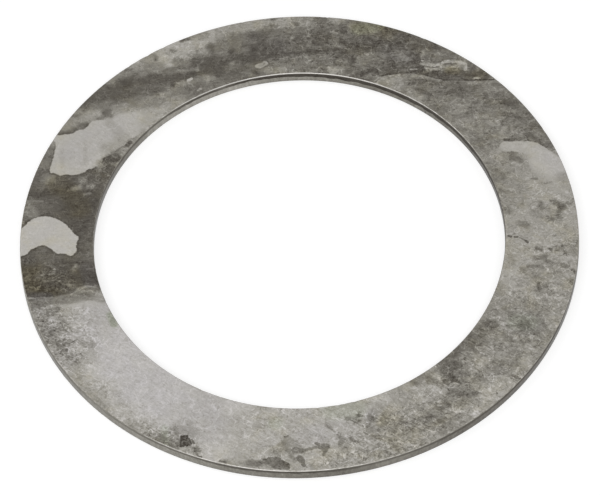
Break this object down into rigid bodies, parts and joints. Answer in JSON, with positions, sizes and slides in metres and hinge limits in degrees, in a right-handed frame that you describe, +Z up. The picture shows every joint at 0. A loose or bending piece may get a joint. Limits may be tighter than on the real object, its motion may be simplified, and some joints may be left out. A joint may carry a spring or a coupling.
{
  "type": "shim ring",
  "caption": "Flat steel ring blanked from rolled sheet: a loose spacer that sets the gap beside a bearing, with a smooth land and a torn break round its rim and bore.",
  "frame": {"origin": "centre of the bottom face, on the ring's axis", "axes": "+Z up along the ring's axis, through the face with the broken edges; X along the way that the sheet was rolled"},
  "size_m": [0.072, 0.072, 0.0018],
  "materials": {
    "steel": "hot rolled strip, tumbled: thin grey-brown scale and oil stain worn through to bare steel, with bright broken edges"
  },
  "bodies": {
    "root": {"shim_ring": "steel"}
  },
  "joints": []
}
